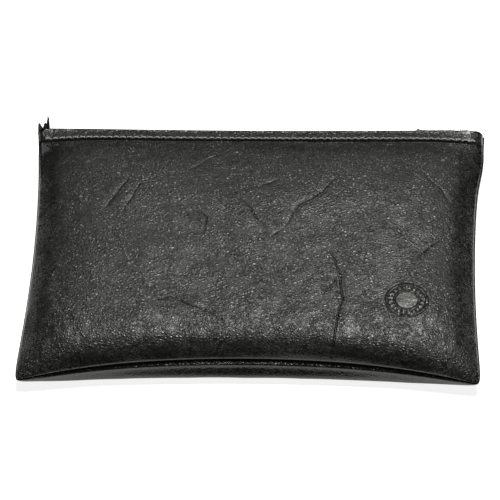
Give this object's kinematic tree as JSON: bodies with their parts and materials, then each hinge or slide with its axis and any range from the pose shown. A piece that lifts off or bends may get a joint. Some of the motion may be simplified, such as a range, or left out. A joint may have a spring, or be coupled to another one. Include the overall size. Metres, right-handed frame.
{
  "type": "cash deposit bag",
  "caption": "Puffed black leatherette cash deposit bag with a zip along one long edge, a nickel slider with a free pull, and a mouth that opens with the zip.",
  "frame": {"origin": "on the resting plane, under the middle of the whole part's box (2.9 mm nearer the base than the middle of the leatherette, because the slider stands out beyond the zip edge)", "axes": "+X along the zip, towards its closed end; +Y towards the zip edge; +Z out of the front panel, the bag lying on its back panel"},
  "size_m": [0.255, 0.1858, 0.026],
  "materials": {
    "leatherette": "black pebble-grained synthetic leather, satin sheen",
    "lining": "dark grey plain-weave lining",
    "binding": "black woven binding tape",
    "zip_tape": "black herringbone zip tape",
    "zip_teeth": "black moulded nylon",
    "thread": "grey bonded sewing thread",
    "nickel": "bright nickel plate"
  },
  "bodies": {
    "bag": {"front_panel": "leatherette", "back_panel": "leatherette", "front_lining": "lining", "back_lining": "lining", "seam_binding": "binding", "seam_stitching": "thread", "front_zip_tape": "zip_tape", "back_zip_tape": "zip_tape", "front_teeth": "zip_teeth", "back_teeth": "zip_teeth", "front_topstitch": "thread", "back_topstitch": "thread", "corner_bartacks": "thread", "top_stops": "nickel", "bottom_stop": "nickel"},
    "slider": {"slider_body": "nickel", "slider_bridge": "nickel"},
    "pull": {"pull_tab": "nickel"},
    "lip": {"mouth_lip": "leatherette", "mouth_lip_lining": "lining", "lip_zip_tape": "zip_tape", "lip_teeth": "zip_teeth", "lip_topstitch": "thread"}
  },
  "joints": [
    {"name": "zip_slide", "type": "slide", "parent": "bag", "child": "slider", "axis": [-1, 0, 0], "range_m": [0, 0.228], "deforming": ["front_zip_tape", "lip_zip_tape", "back_zip_tape", "front_teeth", "lip_teeth", "back_teeth"]},
    {"name": "pull_hinge", "type": "hinge", "parent": "slider", "child": "pull", "pos_m": [0.114, 0.091, 0.0125], "axis": [0, 0, -1], "range_deg": [0, 170]},
    {"name": "lip_hinge", "type": "hinge", "parent": "bag", "child": "lip", "pos_m": [0, 0.03755, 0.02545], "axis": [1, 0, 0], "range_deg": [0, 28]}
  ],
  "couplings": [
    {"joint": "lip_hinge", "follows": "zip_slide", "rad_per_m": 2.143}
  ]
}
